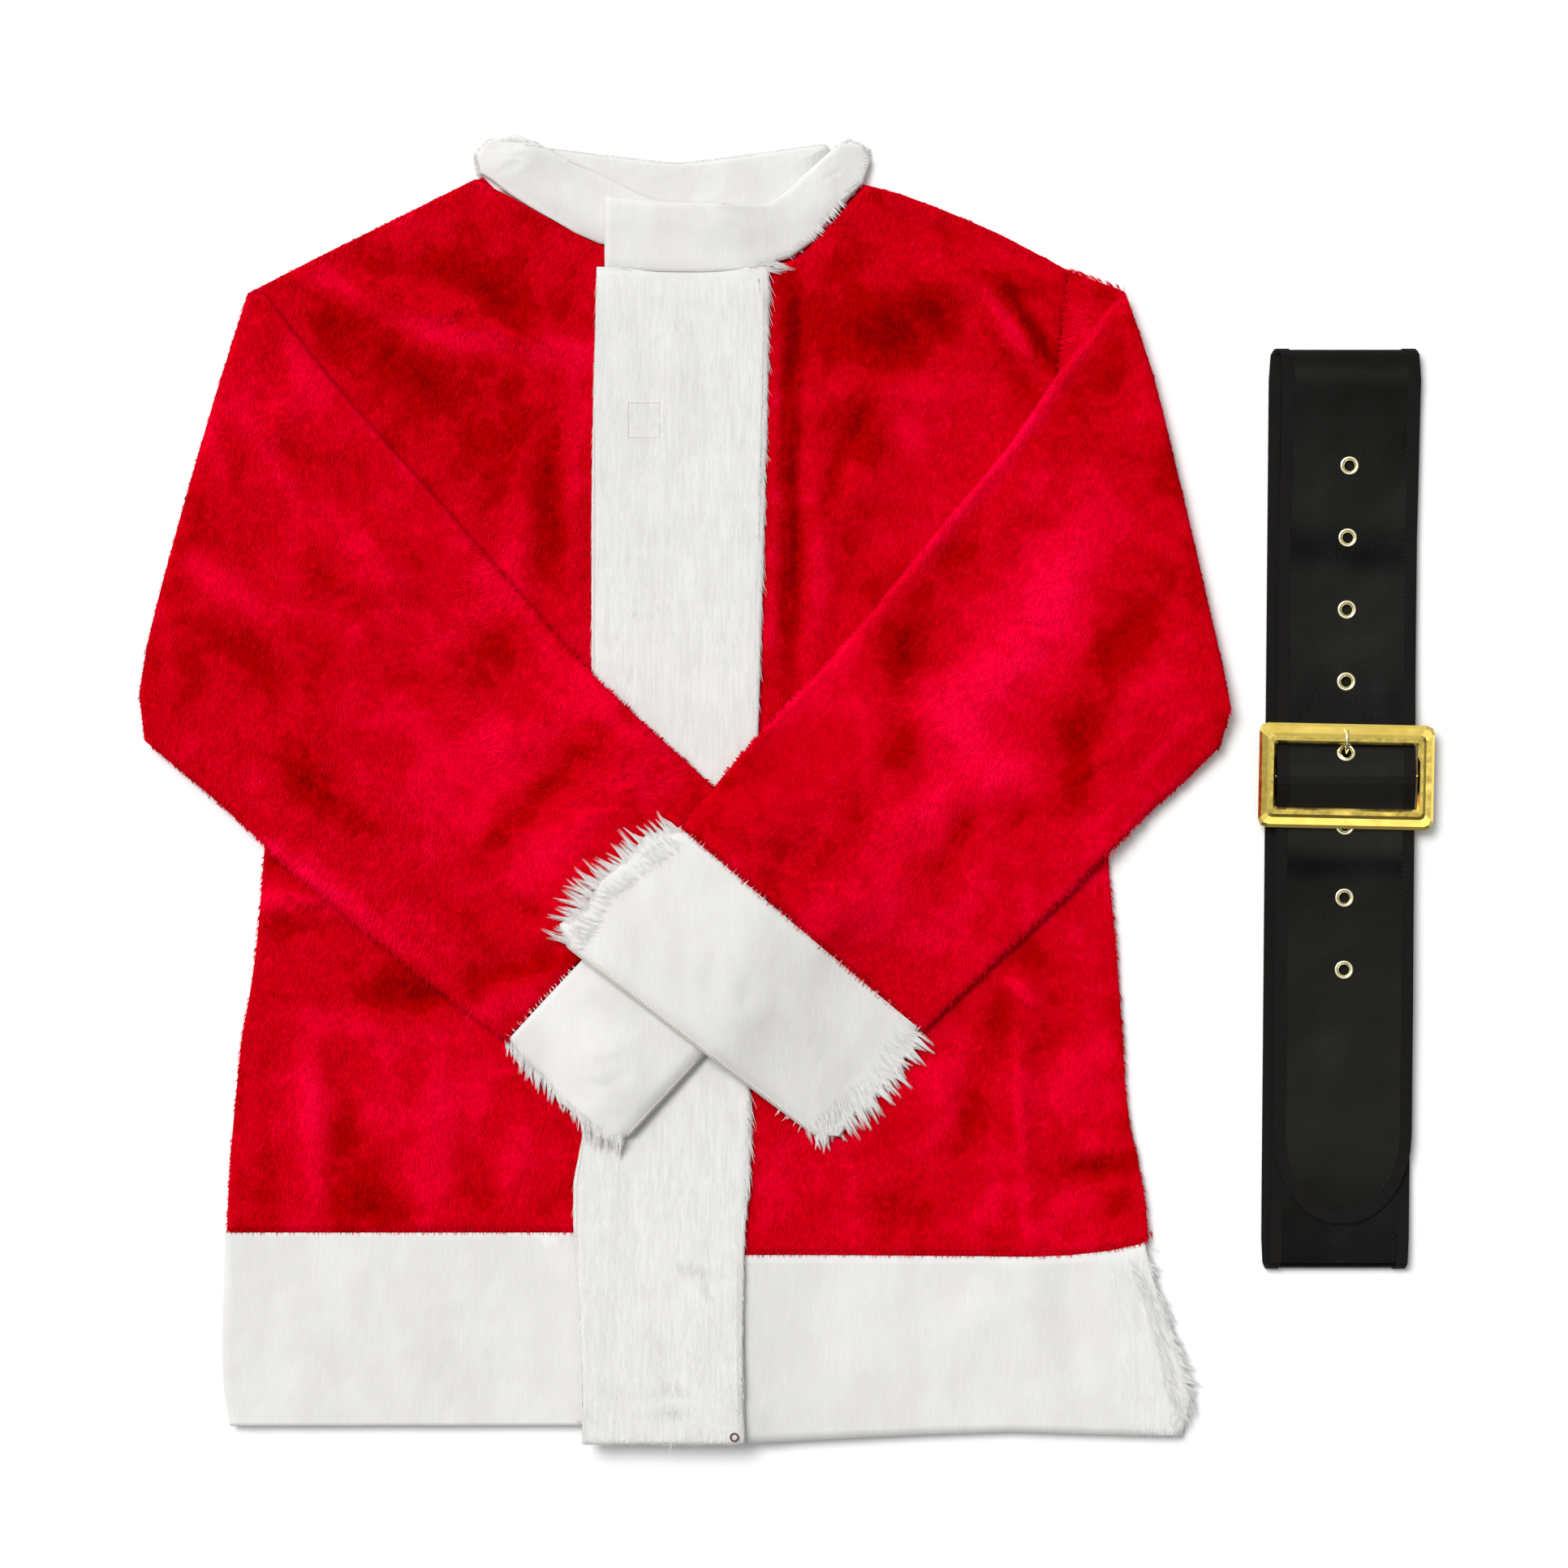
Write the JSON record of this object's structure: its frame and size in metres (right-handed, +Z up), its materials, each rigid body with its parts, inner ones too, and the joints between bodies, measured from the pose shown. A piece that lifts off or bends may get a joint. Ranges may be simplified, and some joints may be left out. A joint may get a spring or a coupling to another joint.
{
  "type": "santa suit jacket and belt",
  "caption": "Red plush santa jacket with white fur collar, placket, cuffs and hem, laid flat with crossed sleeves, and its wide black belt with a rectangular buckle lying beside it.",
  "frame": {"origin": "bottom centre of the box round jacket and belt, on the surface they lie on", "axes": "+Z up from the surface, +Y from hem to collar, +X from the jacket to the belt"},
  "size_m": [0.7986, 0.8076, 0.0382],
  "materials": {
    "red_plush": "short-pile plush, nap brushed in patches",
    "white_fur": "long-pile faux fur, combed flat",
    "dark_wire": "dulled wire",
    "black_strap": "coated imitation leather, fine grain, soft gloss",
    "black_tape": "sewn edge binding",
    "polished_brass": "polished gold-coloured plating",
    "pale_brass": "polished pale gold plating"
  },
  "bodies": {
    "root": {"body_back": "red_plush", "front_left": "red_plush", "front_right": "red_plush", "sleeve_left": "red_plush", "sleeve_right": "red_plush", "sleeve_left_turn": "red_plush", "sleeve_right_turn": "red_plush", "cuff_left": "white_fur", "cuff_right": "white_fur", "collar_back": "white_fur", "collar_front_left": "white_fur", "collar_front_right": "white_fur", "placket": "white_fur", "hem_back": "white_fur", "hem_front_left": "white_fur", "hem_front_right": "white_fur", "closure_eye": "dark_wire", "belt_strap": "black_strap", "belt_binding": "black_tape", "buckle_frame": "polished_brass", "buckle_prong": "polished_brass", "belt_eyelet_1": "pale_brass", "belt_eyelet_2": "pale_brass", "belt_eyelet_3": "pale_brass", "belt_eyelet_4": "pale_brass", "belt_eyelet_5": "pale_brass", "belt_eyelet_6": "pale_brass", "belt_eyelet_7": "pale_brass", "belt_eyelet_8": "pale_brass"}
  },
  "joints": []
}
